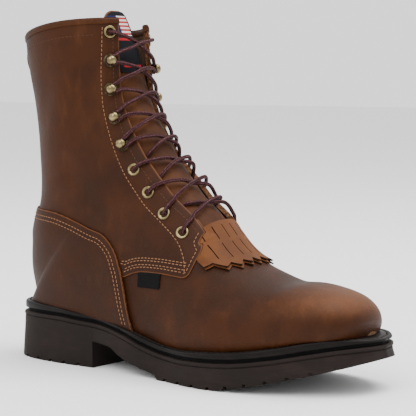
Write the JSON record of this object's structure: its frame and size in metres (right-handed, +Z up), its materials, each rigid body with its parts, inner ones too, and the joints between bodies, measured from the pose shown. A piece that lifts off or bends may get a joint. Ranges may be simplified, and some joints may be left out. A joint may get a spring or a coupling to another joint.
{
  "type": "work boot",
  "caption": "Lace-up leather work boot for the right foot with a toe form, hooks and eyelets, a fringe under the laces, a stitched welt and a moulded heeled sole.",
  "frame": {"origin": "on the floor under the middle of the boot's box", "axes": "+X to the toe, -Y the outer side of the foot, +Z up"},
  "size_m": [0.312, 0.1102, 0.2624],
  "materials": {
    "sole_rubber": "moulded, matt, faintly dusty",
    "recess_rubber": "dark, matt",
    "welt_rubber": "smooth, stitched",
    "insole_board": "flat, fibrous",
    "upper_leather": "oiled, pull-up, half matt",
    "tongue_leather": "soft, half matt",
    "fringe_leather": "oiled, cut edges",
    "woven_label": "woven",
    "woven_tab": "woven",
    "pull_webbing": "textured strap",
    "brass": "antique, slightly dull",
    "lace_yarn": "round braid, flecked"
  },
  "bodies": {
    "root": {"outsole": "sole_rubber", "midsole": "recess_rubber", "welt": "welt_rubber", "insole": "insole_board", "upper": "upper_leather", "counter": "upper_leather", "tongue": "tongue_leather", "tongue_label": "woven_label", "fringe": "fringe_leather", "side_tab": "woven_tab", "pull_loop": "pull_webbing", "eyelet_outer_1": "brass", "hook_outer_2": "brass", "hook_outer_3": "brass", "hook_outer_4": "brass", "hook_outer_5": "brass", "eyelet_outer_6": "brass", "eyelet_outer_7": "brass", "eyelet_outer_8": "brass", "eyelet_outer_9": "brass", "eyelet_inner_1": "brass", "hook_inner_2": "brass", "hook_inner_3": "brass", "hook_inner_4": "brass", "hook_inner_5": "brass", "eyelet_inner_6": "brass", "eyelet_inner_7": "brass", "eyelet_inner_8": "brass", "eyelet_inner_9": "brass", "lace_crossing_1": "lace_yarn", "lace_crossing_2": "lace_yarn", "lace_crossing_3": "lace_yarn", "lace_crossing_4": "lace_yarn", "lace_crossing_5": "lace_yarn", "lace_crossing_6": "lace_yarn", "lace_crossing_7": "lace_yarn", "lace_crossing_8": "lace_yarn"}
  },
  "joints": []
}
